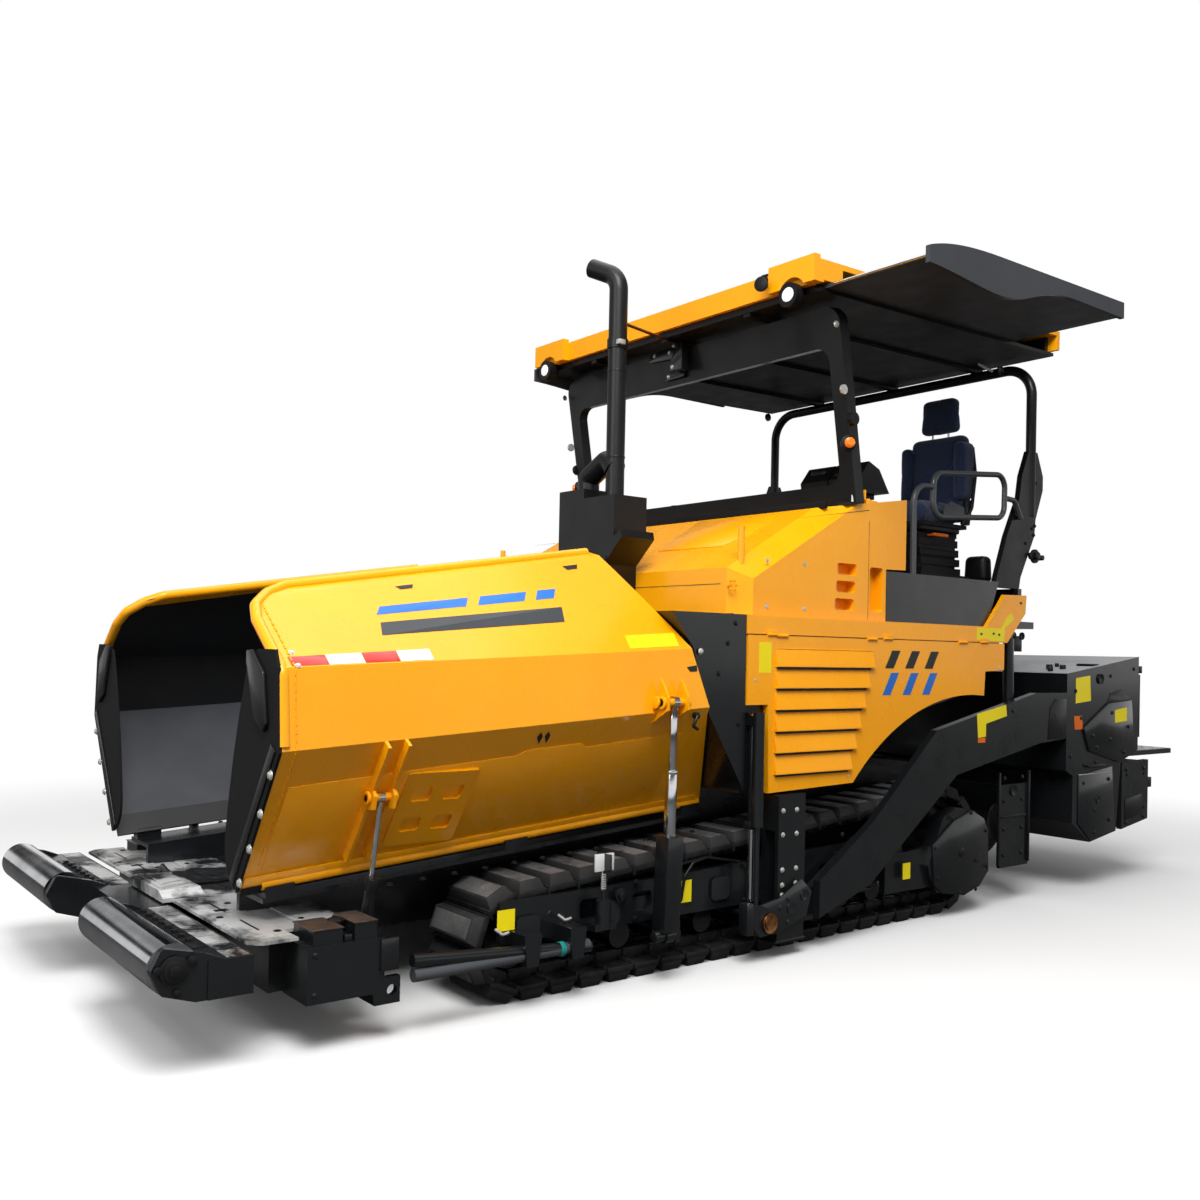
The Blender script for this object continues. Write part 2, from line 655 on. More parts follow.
def build_liner(bm, panels):
    """Steel liner inside a wing: one plate behind each panel, trimmed to the wing's side outline."""
    for panel in panels:
        part = bmesh.new()
        corners = wing_outline(panel, ((-3.085, 0.0), (-0.6, 0.0), (-0.6, 1.0), (-3.085, 1.0)), -0.0155)
        part.faces.new([part.verts.new(p) for p in corners])
        for edge in PANEL_TRIMS[panel]:
            start, end = (Vector((0.0,) + WING_TRIM[i]) for i in (edge, edge + 1))
            away = Vector((1.0, 0.0, 0.0)).cross(end - start).normalized()
            if away.dot(Vector((0.0, -2.0, 1.2)) - start) > 0:
                away = -away
            bmesh.ops.bisect_plane(part, geom=part.verts[:] + part.edges[:] + part.faces[:],
                                   plane_co=start - away * 0.004, plane_no=away, clear_outer=True)
        thicken(part, part.faces[:], panel_out(-1.8, panel) * -0.004)
        mesh = bpy.data.meshes.new("liner_panel")
        part.to_mesh(mesh)
        part.free()
        bm.from_mesh(mesh)
        bpy.data.meshes.remove(mesh)


def rim_points(sign):
    """Line of the rolled rim: up the wing's front edge and back along its top."""
    line = [(1.236, -3.078, 1.172), (1.208, -3.078, 1.452), (0.95, -3.078, 1.64), (0.87, -3.055, 1.7),
            (0.81, -2.985, 1.752), (0.78, -2.9, 1.787), (0.835, -1.4, 2.024)]
    return [(sign * x, y, z) for x, y, z in line]


FLAP_BOLTS = ((1.185, 1.066), (1.099, 0.912), (0.999, 0.766), (0.905, 0.621))


def build_flap_strip(bm):
    """Clamp strip along a flap."""
    low, high = wing_point(-3.103, 0, 0.0, -0.022), wing_point(-3.103, 0, 0.98, -0.022)
    inward = -panel_out(-3.1, 0) * 0.045
    plate(bm, [low, high, high + inward, low + inward], (0, -0.006, 0))


def wing_pin(y, eye, radius, half):
    """Rows for a pin along the machine through an (x, z) eye, with a head at each end."""
    x, z = eye
    heads = [(rod, (x, y + end * (half - 0.012), z), (x, y + end * half, z), radius * 1.6, 24)
             for end in (-1, 1)]
    return [(rod, (x, y - half, z), (x, y + half, z), radius, 24)] + heads


def build_hopper():
    """Liners, rolled rims, flaps, laps, pins and reflectors of the hopper wings."""
    pair("wing_liner_low", "liner", (build_liner, (0,)), body="wing_SIDE")
    pair("wing_liner_high", "soot", (build_liner, (1, 2)), body="wing_SIDE")
    for side, sign in SIDES:
        tube("wing_rim_" + side, "yellow", rim_points(sign), 0.0235, 0.06, "wing_" + side)
    pair("wing_foot", "soot",
         (plate, wing_outline(0, ((-3.085, -0.06), (-0.64, -0.06), (-0.64, 0.1), (-3.085, 0.1)), -0.02),
          (-0.0025, 0, 0.002)), body="wing_SIDE")
    pair("flap_strip", "black", (build_flap_strip,), body="wing_SIDE", bevel=0.0015)
    pair("flap_bolts", "zinc", (bolts, [(x, -3.104, z) for x, z in FLAP_BOLTS], FORWARD, 0.014, 0.01),
         body="wing_SIDE", bevel=0.001)
    pair("wing_lap", "yellow",
         (wing_patch, 0,
          [(-3.02, 0.1), (-1.0, 0.1), (-1.05, 0.78), (-1.62, 0.76), (-1.66, 0.8), (-1.95, 0.8),
           (-2.0, 0.76), (-3.02, 0.74)], 0.0035),
         (wing_patch, 0, [(-3.08, 0.0), (-0.66, 0.0), (-0.7, 0.085), (-3.08, 0.085)], 0.006, 0.001),
         body="wing_SIDE", bevel=0.0012)
    pair("wing_hem", "flap",
         (wing_patch, 0, [(-3.08, -0.045), (-0.66, -0.045), (-0.66, 0.012), (-3.08, 0.012)], 0.006, 0.007),
         body="wing_SIDE", bevel=0.0015)
    for name, colour, first in (("reflector_red", "red", 0), ("reflector_white", "white", 1)):
        starts = [-3.045 + 0.15 * i for i in (first, first + 2)]
        pair(name, colour,
             *[(wing_patch, 2, [(y, 0.012), (y + 0.148, 0.012), (y + 0.148, 0.14), (y, 0.14)], 0.0012,
                0.0004) for y in starts], body="wing_SIDE", bevel=0.0004)
    pair("wing_bar", "bar",
         (wing_patch, 2, [(-2.62, 0.34), (-1.72, 0.34), (-1.7, 0.5), (-2.6, 0.5)], FILM, 0.0004),
         body="wing_SIDE")
    pair("wing_blue_bars", "blue",
         *[(wing_patch, 2, [(y, 0.6), (y + length, 0.6), (y + length + 0.03, 0.7), (y + 0.03, 0.7)], FILM,
            0.0004) for y, length in ((-2.6, 0.42), (-2.12, 0.24), (-1.82, 0.1))], body="wing_SIDE")
    pair("wing_label", "label",
         (wing_patch, 2, [(-1.42, 0.03), (-1.12, 0.03), (-1.12, 0.16), (-1.42, 0.16)], FILM, 0.0004),
         body="wing_SIDE")
    pair("wing_pins", "yellow", *wing_pin(-2.625, (1.129, 0.949), 0.017, 0.066),
         *wing_pin(-1.215, (1.29, 1.317), 0.02, 0.082), body="wing_SIDE", bevel=0.002)
    pair("wing_hook", "black", (rod, (1.237, -1.035, 1.25), (1.262, -1.035, 1.25), 0.016, 16),
         (rod, (1.258, -1.035, 1.25), (1.258, -1.06, 1.2), 0.008, 12),
         (rod, (1.258, -1.06, 1.2), (1.258, -1.03, 1.185), 0.008, 12), body="wing_SIDE", bevel=0.0015)


# Tracks

IDLER, SPROCKET = (-1.92, 0.262), (1.15, 0.39)
SHOES = 48
# From the wheels' loop in to the plates' outer face
PLATE_DEPTH = 0.045
TRACK_X = 0.92


def round_wheel(wheel, radius, angle):
    """Place and direction along at an angle round a wheel."""
    turned = Vector((math.cos(angle), math.sin(angle)))
    return Vector(wheel) + turned * radius, Vector((-turned.y, turned.x))


def track_spots():
    """Place, direction along, direction out and pitch of each shoe, at the plates' outer face."""
    front, rear = IDLER[1] - PLATE_DEPTH, SPROCKET[1] - PLATE_DEPTH
    run, rise = SPROCKET[0] - IDLER[0], SPROCKET[1] - IDLER[1]
    slack = math.sqrt(run * run + rise * rise - (rear - front) ** 2)
    turn = math.pi / 2 + math.atan2(rise, run) + math.atan2(rear - front, slack)
    low_front, low_rear = Vector((IDLER[0], IDLER[1] - front)), Vector((SPROCKET[0], SPROCKET[1] - rear))
    tip = Vector((math.cos(turn), math.sin(turn)))
    top_front, top_rear = Vector(IDLER) + tip * front, Vector(SPROCKET) + tip * rear
    low, top = low_rear - low_front, top_front - top_rear
    lengths = [low.length, rear * (math.pi / 2 + turn), top.length, front * (3 * math.pi / 2 - turn)]
    total = sum(lengths)
    for i in range(SHOES):
        at = (i + 0.5) / SHOES * total
        past = at - lengths[0] - lengths[1]
        if at < lengths[0]:
            spot, ahead = low_front + low * (at / lengths[0]), low.normalized()
        elif past < 0:
            spot, ahead = round_wheel(SPROCKET, rear, -math.pi / 2 + (at - lengths[0]) / rear)
        elif past < lengths[2]:
            spot, ahead = top_rear + top * (past / lengths[2]), top.normalized()
        else:
            spot, ahead = round_wheel(IDLER, front, turn + (past - lengths[2]) / front)
        yield spot, ahead, Vector((ahead.y, -ahead.x)), total / SHOES


def along_track(sign, make):
    """The shapes of one shoe round the whole loop: make gets x across, y along and z out."""
    bm = bmesh.new()
    one = bmesh.new()
    spots = list(track_spots())
    make(one, spots[0][3] / 2)
    mesh = bpy.data.meshes.new("one_shoe")
    one.to_mesh(mesh)
    one.free()
    for spot, ahead, out, _ in spots:
        before = len(bm.verts)
        bm.from_mesh(mesh)
        bm.verts.ensure_lookup_table()
        turn = Matrix(((1, 0, 0), (0, ahead.x, out.x), (0, ahead.y, out.y))).to_4x4()
        bmesh.ops.transform(bm, matrix=Matrix.Translation((sign * TRACK_X, spot.x, spot.y)) @ turn,
                            verts=bm.verts[before:])
    bpy.data.meshes.remove(mesh)
    return bm


def chamfered(bm, low, high, slope, ends):
    """Block whose outer face is smaller: slope along the track, ends across it."""
    for vert in cuboid(bm, low, high):
        if vert.co.z > (low[2] + high[2]) / 2:
            vert.co.y -= math.copysign(slope, vert.co.y)
            vert.co.x -= math.copysign(ends, vert.co.x)


def shoe(bm, half):
    """Plate of a shoe with its grouser; half is half the pitch."""
    cuboid(bm, (-0.18, -half + 0.004, -0.027), (0.18, half - 0.01, -0.001))
    cuboid(bm, (-0.18, half - 0.018, -0.045), (0.18, half - 0.006, -0.01))


def pad(bm, half):
    """Rubber pad on a shoe."""
    chamfered(bm, (-0.179, -half + 0.013, -0.002), (0.179, half - 0.018, 0.0445), 0.014, 0.018)


def pad_face(bm, half):
    """Worn face of a pad."""
    chamfered(bm, (-0.15, -half + 0.034, 0.043), (0.15, half - 0.04, 0.0455), 0.004, 0.004)


def link(bm, half):
    """Two chain links under a shoe, with their pins and bolts."""
    for x in (-0.06, 0.06):
        cuboid(bm, (x - 0.022, -half + 0.006, -0.08), (x + 0.022, half - 0.03, -0.026))
        cuboid(bm, (x - 0.016, half - 0.05, -0.074), (x + 0.016, half + 0.02, -0.04))
        rod(bm, (x - 0.028, -half + 0.02, -0.056), (x + 0.028, -half + 0.02, -0.056), 0.017, 12)
        bolts(bm, [(x, -0.03, -0.001), (x, 0.03, -0.001)], (0, 0, -1), 0.009, 0.034)


def build_tracks():
    """Shoe plates, pads and links of both tracks, in place of the plain loops."""
    for side, sign in SIDES:
        finish(along_track(sign, shoe), "shoe_plates_" + side, "track", bevel=0.003,
               standing_for=("track_" + side,))
        finish(along_track(sign, pad), "shoe_pads_" + side, "rubber", bevel=0.005)
        finish(along_track(sign, pad_face), "pad_faces_" + side, "worn_rubber", bevel=0.001)
        finish(along_track(sign, link), "track_links_" + side, "track", bevel=0.0025)


# Seats

FOAM_FILL, FOAM_VOXEL, CLOTH_FRAMES = 0.8, 0.0075, 20
SEAM_WIDTH, SEAM_DEPTH = 0.007, 0.008


def soft_block(low, high, round_by, top_in=0.0):
    """Rounded block for a pad: a cube with large bevels, narrowed towards its top."""
    bm = bmesh.new()
    verts = cuboid(bm, low, high)
    middle = (Vector(low) + Vector(high)) / 2
    for vert in verts:
        if vert.co.z > middle.z:
            vert.co.x -= math.copysign(top_in, vert.co.x - middle.x)
    rounded(bm, bm.edges[:], round_by, 4)
    return bm


def padded(name, bm, cap, seams=(), standing_for=()):
    """Upholstered pad: remeshed, blown up as cloth with its swelling capped, seams pressed in after."""
    mesh = bpy.data.meshes.new(name)
    bm.to_mesh(mesh)
    bm.free()
    piece = bpy.data.objects.new(name, mesh)
    settle(piece, "fabric", "chassis", standing_for)
    swell(piece, cap)
    press_seams(piece.data, seams)
    for face in piece.data.polygons:
        face.use_smooth = True
    smooth = piece.modifiers.new("Subdivision", "SUBSURF")
    smooth.levels = smooth.render_levels = 1


def swell(piece, cap):
    """Voxel remesh, then cloth under pressure, each point moved by no more than the cap."""
    remesh = piece.modifiers.new("Remesh", "REMESH")
    remesh.mode = "VOXEL"
    remesh.voxel_size = FOAM_VOXEL
    bake(piece)
    rest = [v.co.copy() for v in piece.data.vertices]
    cloth = piece.modifiers.new("Cloth", "CLOTH")
    settings = cloth.settings
    settings.quality = 4
    settings.use_pressure = True
    settings.uniform_pressure_force = 4.0
    settings.effector_weights.gravity = 0.0
    scene = bpy.context.scene
    for step in range(1, CLOTH_FRAMES + 1):
        scene.frame_set(step)
    bake(piece)
    scene.frame_set(1)
    for vert, start in zip(piece.data.vertices, rest):
        move = vert.co - start
        if move.length > cap:
            vert.co = start + move.normalized() * cap


def bake(piece):
    """Put the evaluated shape into the piece's mesh and drop its modifiers."""
    graph = bpy.context.evaluated_depsgraph_get()
    fresh = bpy.data.meshes.new_from_object(piece.evaluated_get(graph))
    stale = piece.data
    piece.modifiers.clear()
    piece.data = fresh
    bpy.data.meshes.remove(stale)


def press_seams(mesh, seams):
    """Sink a narrow groove along each seam line."""
    for points in seams:
        runs = [(Vector(a), Vector(b)) for a, b in zip(points, points[1:])]
        for vert in mesh.vertices:
            near = SEAM_WIDTH * 4
            for a, b in runs:
                line = b - a
                part = max(0.0, min(1.0, (vert.co - a).dot(line) / line.length_squared))
                near = min(near, (vert.co - (a + line * part)).length)
            if near < SEAM_WIDTH * 3:
                vert.co -= vert.normal * SEAM_DEPTH * math.exp(-((near / SEAM_WIDTH) ** 2))


def build_seats():
    """Cushions, backs and headrests of the left seat, and the folded right seat."""
    padded("cushion_left", soft_block((0.515, 1.075, 2.402), (0.985, 1.49, 2.505), 0.045, 0.01), 0.022,
           [[(0.62, 1.08, 2.52), (0.63, 1.3, 2.535), (0.87, 1.3, 2.535), (0.88, 1.08, 2.52)]], ("seats",))
    padded("back_left", soft_block((0.514, 1.508, 2.41), (0.986, 1.612, 2.994), 0.045, 0.03), 0.012,
           [[(0.6, 1.495, 2.93), (0.615, 1.495, 2.8), (0.68, 1.495, 2.735), (0.75, 1.495, 2.715),
             (0.82, 1.495, 2.735), (0.885, 1.495, 2.8), (0.9, 1.495, 2.93)],
            [(0.56, 1.495, 2.62), (0.66, 1.495, 2.56), (0.84, 1.495, 2.56), (0.94, 1.495, 2.62)]])
    for name, low, high in (("near", 0.915, 0.988), ("far", 0.512, 0.585)):
        padded("bolster_" + name, soft_block((low, 1.448, 2.56), (high, 1.6, 2.93), 0.032), 0.006)
    padded("headrest_left", soft_block((0.614, 1.514, 3.01), (0.886, 1.606, 3.234), 0.036, 0.012), 0.01)
    single("headrest_posts", "chrome", (rod, (0.69, 1.56, 2.97), (0.69, 1.56, 3.03), 0.007, 16),
           (rod, (0.81, 1.56, 2.97), (0.81, 1.56, 3.03), 0.007, 16))
    padded("cushion_right", soft_block((-0.985, 1.075, 2.402), (-0.515, 1.49, 2.505), 0.045, 0.01), 0.022)
    padded("back_right", soft_block((-0.975, 1.11, 2.535), (-0.525, 1.545, 2.635), 0.045, 0.01), 0.022)


BEAM_END, ROLLER_AXIS = 1.221, (-3.45, 0.41)


def build_front():
    """Roller caps, beam bolts, deck plates, corner boxes and their lids."""
    y, z = ROLLER_AXIS
    pair("roller_cap", "black", *boss((BEAM_END, y, z), OUT, (0.052, 0.008), (0.04, 0.006), (0.022, 0.006)),
         *boss((BEAM_END, y + 0.062, z + 0.026), OUT, (0.019, 0.01), (0.011, 0.006)),
         *boss((BEAM_END, y - 0.056, z + 0.008), OUT, (0.014, 0.01)),
         (bolts, [(BEAM_END, y + 0.012, z - 0.08)], OUT, 0.011, 0.009), body="push_beam", bevel=0.002)
    pair("beam_bolts", "black", (cuboid, (0.3, -3.322, 0.4235), (1.02, -3.262, 0.4275)),
         (bolts, span((0.36, -3.302, 0.4275), (0.92, -3.302, 0.4275), 8), UP, 0.013, 0.012),
         (bolts, span((0.4, -3.276, 0.4275), (0.88, -3.276, 0.4275), 5), UP, 0.009, 0.0035),
         body="push_beam", bevel=0.001)
    pair("beam_strip", "worn", (cuboid, (0.28, -3.258, 0.4235), (1.2, -3.176, 0.4262)), body="push_beam",
         bevel=0.001)
    pair("deck_sheets", "worn",
         level_plate(0.4438,
                     ((0.27, -3.13), (1.02, -3.13), (1.08, -3.085), (1.08, -2.972), (0.33, -2.972),
                      (0.27, -3.01)), 0.0045),
         level_plate(0.4438,
                     ((0.06, -2.868), (0.96, -2.868), (0.96, -2.685), (0.42, -2.685), (0.38, -2.72),
                      (0.06, -2.72)), 0.0035), bevel=0.001)
    pair("deck_slots", "black", (cuboid, (0.4, -3.058, 0.448), (0.62, -3.048, 0.4488)),
         (cuboid, (0.56, -3.085, 0.448), (0.6, -3.03, 0.4488)),
         (cuboid, (0.78, -3.058, 0.448), (0.98, -3.048, 0.4488)),
         (bolts, [(0.33, -3.1, 0.448), (0.47, -2.99, 0.448), (0.7, -3.105, 0.448), (1.03, -3.0, 0.448)], UP,
          0.012, 0.004), (bolts, [(0.14, -2.84, 0.447), (0.5, -2.84, 0.447), (0.88, -2.84, 0.447),
                                  (0.6, -2.71, 0.447), (0.92, -2.71, 0.447)], UP, 0.01, 0.004),
         bevel=0.0008)
    single("deck_cover", "worn",
           level_plate(0.4745, ((-0.175, -3.175), (0.175, -3.175), (0.12, -3.04), (-0.12, -3.04)), 0.012),
           level_plate(0.4862, ((-0.135, -3.158), (0.135, -3.158), (0.09, -3.06), (-0.09, -3.06)), 0.008),
           bevel=0.003)
    single("deck_gusset", "worn",
           (plate, [(-0.31, -3.045, 0.444), (-0.21, -3.045, 0.515), (-0.06, -3.045, 0.486),
                    (-0.05, -3.045, 0.474)], (0, -0.012, 0)),
           *boss((-0.205, -3.057, 0.482), FORWARD, (0.011, 0.003)), bevel=0.0015)
    pair("box_lids", "lid", (cuboid, (1.016, -2.936, 0.4695), (1.206, -2.806, 0.4745)),
         (cuboid, (1.016, -2.764, 0.4795), (1.206, -2.664, 0.4845)), bevel=0.002)
    pair("box_trim", "charcoal", *boss((1.09, -2.785, 0.4695), UP, (0.036, 0.01), (0.026, 0.004)),
         (cuboid, (1.14, -2.8, 0.413), (1.2, -2.77, 0.44)),
         side_plate(patch(-2.66, 0.285, 0.075, 0.125), 1.2205, 0.012),
         (bolts, [(1.2212, -2.93, 0.385), (1.2212, -2.93, 0.235)], OUT, 0.009, 0.006), bevel=0.002)
    pair("hinge_rail_bolts", "black",
         (bolts, span((0.985, -2.5, 0.56), (0.985, -0.8, 0.64), 12), UP, 0.012, 0.01), bevel=0.001)


def build_wing_details():
    """Edge plates, seams, slots and catches of the wings."""
    pair("edge_plate", "black",
         cross_plate(-3.1025,
                     ((0.95, 1.478), (0.95, 1.524), (1.0, 1.528), (1.114, 1.444), (1.154, 1.252),
                      (1.128, 1.22), (1.037, 1.267)), (0, -0.018, 0)), body="wing_SIDE", bevel=0.006)
    pair("seam_bolts", "zinc",
         (bolts, [wing_point(-3.02, 2, 0.02), wing_point(-3.02, 2, 0.2)], panel_out(-3.0, 2).to_tuple(),
          0.01, 0.006), (bolts, [wing_point(-0.99, 1, 0.95)], OUT, 0.012, 0.008), body="wing_SIDE",
         bevel=0.001)
    beads = [(panel, i / count, (i + 0.7) / count) for panel, count in ((0, 18), (1, 10), (2, 12))
             for i in range(count)]
    pair("weld_seam", "yellow",
         *[(rod, wing_point(-3.035, panel, start, 0.001), wing_point(-3.035, panel, end, 0.001), 0.0035, 8)
           for panel, start, end in beads], body="wing_SIDE")
    slots = [((y, 0.93), (y + 0.02, 0.885), (y + 0.075, 0.885), (y + 0.085, 0.93)) for y in (-2.46, -1.6)]
    pair("wing_slots", "ink",
         *[(plate, wing_outline(2, slot), (panel_out(slot[0][0], 2) * 0.0006).to_tuple())
           for slot in slots], body="wing_SIDE")
    pair("ram_gussets", "yellow", *boss((1.262, -1.31, 1.317), BACK, (0.03, 0.01)),
         *boss((1.262, -1.13, 1.317), BACK, (0.03, 0.01)), body="wing_SIDE", bevel=0.002)
    latches = ((1, ((-1.085, 0.7), (-1.065, 0.62), (-1.02, 0.62), (-1.02, 0.72))),
               (0, ((-1.93, 0.9), (-1.905, 0.84), (-1.9, 0.9), (-1.92, 0.94))),
               (0, ((-1.89, 0.9), (-1.865, 0.84), (-1.86, 0.9), (-1.88, 0.94))))
    pair("latch_slot", "ink",
         *[(plate, wing_outline(panel, corners), (0.0006, 0, 0)) for panel, corners in latches],
         body="wing_SIDE")


def build_cylinders():
    """Sleeves, stages, caps and bushes of the wing rams, struts and levelling cylinders."""
    pair("ram_sleeve", "charcoal",
         (cuboid, (1.224, -1.262, 0.255), (1.316, -1.166, 0.7), Matrix.Rotation(0.045, 4, "Y")),
         *boss((1.262, -1.29, 0.235), BACK, (0.026, 0.15)), body="ram_barrel_SIDE", bevel=0.006)
    pair("ram_stage", "chrome", (rod, (1.2795, -1.215, 0.665), (1.283, -1.215, 0.985), 0.0265, 32),
         (rod, (1.283, -1.215, 0.985), (1.2832, -1.215, 1.0), 0.03, 32),
         (rod, (1.2832, -1.215, 1.0), (1.2885, -1.215, 1.29), 0.0195, 32), body="ram_rod_SIDE", bevel=0.001)
    pair("strut_sleeve", "black", (rod, (1.068, -2.624, 0.565), (1.0795, -2.624, 0.62), 0.029, 32),
         *boss((0.985, -2.665, 0.25), BACK, (0.026, 0.082)), body="strut_barrel_SIDE", bevel=0.002)
    pair("level_barrel", "charcoal", (rod, (1.21, -0.605, 0.705), (1.212, -0.607, 1.185), 0.021, 32),
         (rod, (1.212, -0.607, 1.185), (1.212, -0.607, 1.225), 0.026, 32),
         (cuboid, (1.188, -0.642, 0.672), (1.236, -0.572, 0.712)),
         (cuboid, (1.225, -0.7, 0.16), (1.285, -0.655, 0.315)), bevel=0.003)
    pair("level_cap", "bronze",
         *boss((1.212, -0.607, 1.225), UP, (0.018, 0.008), (0.024, 0.014), (0.014, 0.008)), bevel=0.003)
    pair("level_rod", "chrome", (rod, (1.21, -0.605, 0.31), (1.21, -0.605, 0.705), 0.0195, 32),
         (rod, (1.236, -0.575, 0.72), (1.238, -0.577, 1.18), 0.007, 16))
    pair("tow_bush", "bronze", (ring, (1.2845, -0.54, 0.205), 0.05, 0.036, 0.01),
         (ring, (1.2865, -0.54, 0.205), 0.032, 0.02, 0.006), bevel=0.0015)
    pair("tow_bush_core", "ink", (rod, (1.2845, -0.54, 0.205), (1.2865, -0.54, 0.205), 0.037, 32))


# Outer face of the track frame's cheek
CHEEK_SIDE = 1.143
GUIDE_BOLTS = (0.753, 0.631, 0.453, 0.376, 0.325, 0.254)


def build_running_gear():
    """Bolts, windows, labels, posts and hoses of the track frames and guide posts."""
    pair("guide_bolts", "zinc",
         (bolts, [(1.25, y, z) for y in (-0.418, -0.316) for z in GUIDE_BOLTS], OUT, 0.0105, 0.008),
         bevel=0.001)
    pair("guide_edges", "charcoal", (cuboid, (1.135, -0.455, 0.822), (1.247, -0.245, 0.8345)),
         (cuboid, (1.13, -0.46, 0.08), (1.252, -0.24, 0.095)), bevel=0.003)
    pair("frame_labels", "label", side_plate(patch(-1.06, 0.337, 0.115, 0.107), CHEEK_SIDE, FILM),
         side_plate(patch(-2.07, 0.34, 0.09, 0.09), CHEEK_SIDE, FILM),
         side_plate(patch(0.632, 0.283, 0.068, 0.092), 1.2058, FILM))
    window = ((0, 0), (0.02, -0.014), (0.105, -0.014), (0.125, 0.004), (0.125, 0.085), (0.105, 0.1),
              (0.02, 0.1), (0, 0.084))
    pair("frame_windows", "ink",
         *[side_plate([(y + dy, z + dz) for dy, dz in window], CHEEK_SIDE + 0.0005, FILM)
           for y, z in ((-0.81, 0.336), (-1.52, 0.3), (-1.97, 0.29))])
    wire("frame_hose", "plastic",
         [(1.155, -0.86, 0.545), (1.16, -0.95, 0.53), (1.163, -1.01, 0.47), (1.163, -1.03, 0.36),
          (1.163, -1.07, 0.315)], 0.008)
    wire("frame_hose_low", "plastic",
         [(1.15, -0.62, 0.5), (1.15, -0.86, 0.545), (1.155, -1.1, 0.52), (1.15, -1.14, 0.47)], 0.007)
    pair("sensor_plate", "pale", (cuboid, (1.196, -1.592, 0.556), (1.208, -1.486, 0.634)),
         (rod, (1.2, -1.539, 0.47), (1.2, -1.539, 0.556), 0.01, 16), bevel=0.002)
    pair("sensor_thread", "zinc",
         *[(rod, (1.2, -1.539, 0.476 + 0.008 * i), (1.2, -1.539, 0.48 + 0.008 * i), 0.0125, 16)
           for i in range(9)])
    pair("guide_pole", "tube", (rod, (1.222, -2.515, 0.245), (1.222, -1.64, 0.245), 0.0268, 32))
    for y, z in ((-2.02, 0.325), (-1.69, 0.345)):
        wire("lash_hook_" + str(round(-y * 100)), "zinc",
             [(1.145, y, z), (1.175, y - 0.01, z + 0.015), (1.18, y - 0.045, z + 0.01),
              (1.165, y - 0.075, z + 0.035)], 0.0065, 0.012)
    pair("carrier_trim", "black", (cuboid, (1.178, 1.606, 0.26), (1.194, 1.622, 0.84)),
         (cuboid, (1.178, 1.938, 0.26), (1.194, 1.954, 0.84)),
         (cuboid, (1.178, 1.64, 0.55), (1.188, 1.92, 0.566)),
         (bolts, [(1.18, y, z) for y in (1.68, 1.88) for z in (0.32, 0.48, 0.66, 0.8)], OUT, 0.011, 0.008),
         (ring, (1.18, 1.78, 0.72), 0.034, 0.02, 0.01), bevel=0.002)
    pair("clamp", "teal", (rod, (1.222, -1.8, 0.245), (1.222, -1.775, 0.245), 0.032, 24), bevel=0.002)
    pair("drive_cover", "charcoal",
         side_plate([(0.892, 0.456), (1.1, 0.585), (1.286, 0.632), (1.41, 0.575), (1.458, 0.497),
                     (1.465, 0.251), (1.37, 0.165), (1.198, 0.141), (1.0, 0.165), (0.918, 0.22)], 1.2045,
                    0.014), bevel=0.006)
    pair("drive_bolts", "black",
         side_bolts(1.218,
                    ((0.945, 0.26), (0.915, 0.44), (1.08, 0.6), (1.27, 0.62), (1.43, 0.5), (1.445, 0.28),
                     (1.33, 0.155), (1.17, 0.15)), 0.01, 0.006),
         *boss((1.218, 1.18, 0.39), OUT, (0.03, 0.004)), *boss((1.218, 1.33, 0.33), OUT, (0.014, 0.006)),
         bevel=0.0015)
    pair("frame_bolts", "black",
         (bolts, [(1.1425, y, z) for y in (-1.3, -0.58, -0.15, 0.12, 0.35) for z in (0.3, 0.47)], OUT,
          0.011, 0.008), (cuboid, (1.06, -0.62, 0.236), (1.15, 0.45, 0.252)),
         *boss((1.1425, -1.4, 0.42), OUT, (0.034, 0.02), (0.022, 0.012)), bevel=0.0015)


# Just proud of the body's side faces
BODY_SIDE = 1.2212
DOOR_STRIPES = (0.42, 0.6, 0.78)


